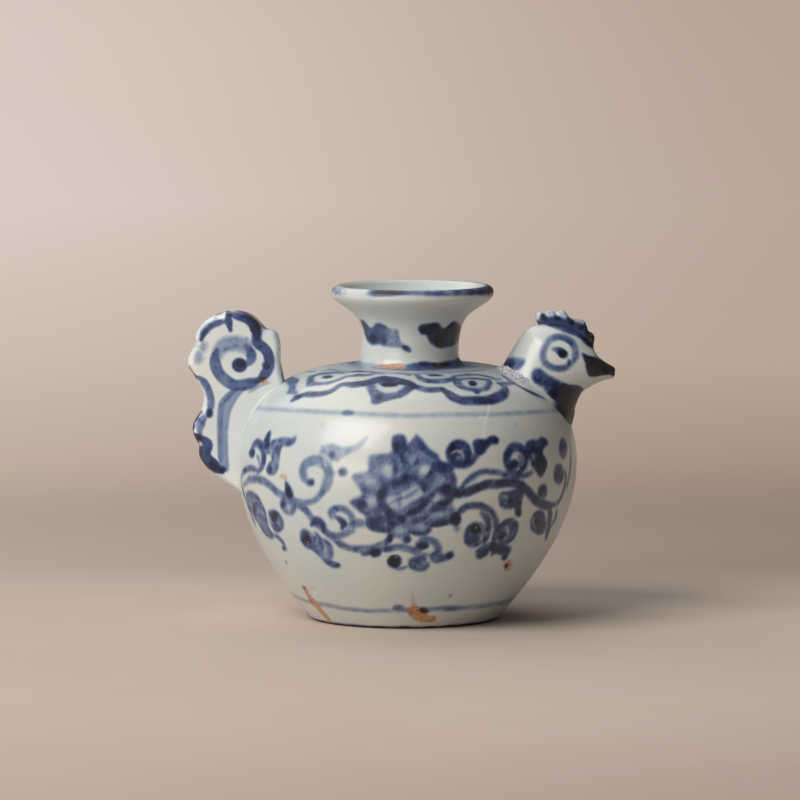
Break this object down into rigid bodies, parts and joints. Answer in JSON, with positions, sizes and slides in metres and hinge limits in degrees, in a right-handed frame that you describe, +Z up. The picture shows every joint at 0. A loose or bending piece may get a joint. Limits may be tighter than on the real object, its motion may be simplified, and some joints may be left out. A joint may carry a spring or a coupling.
{
  "type": "water dropper",
  "caption": "Squat porcelain water dropper in the form of a rooster: round jar with a flared neck, a hollow bird's-head spout on one side and a flat lobed tail on the other.",
  "frame": {"origin": "centre of the flat foot, on the surface that the dropper stands on", "axes": "+X towards the beak, away from the tail; +Z up, out of the mouth; +Y to the bird's left"},
  "size_m": [0.1146, 0.0908, 0.0895],
  "materials": {
    "body_glaze": "pale bluish grey glaze over cobalt painting",
    "neck_glaze": "pale bluish grey glaze over cobalt painting",
    "head_glaze": "pale bluish grey glaze over cobalt painting",
    "tail_glaze": "pale bluish grey glaze over cobalt painting",
    "comb_blue": "dark cobalt under glaze",
    "slip": "thinly glazed slip"
  },
  "bodies": {
    "root": {"lower_bowl": "body_glaze", "belly_slip_ring": "slip", "upper_bowl": "body_glaze", "neck_slip_ring": "slip", "neck": "neck_glaze", "head_left_half": "head_glaze", "head_right_half": "head_glaze", "comb": "comb_blue", "head_slip_fillet": "slip", "tail": "tail_glaze", "tail_slip_left": "slip", "tail_slip_right": "slip"}
  },
  "joints": []
}
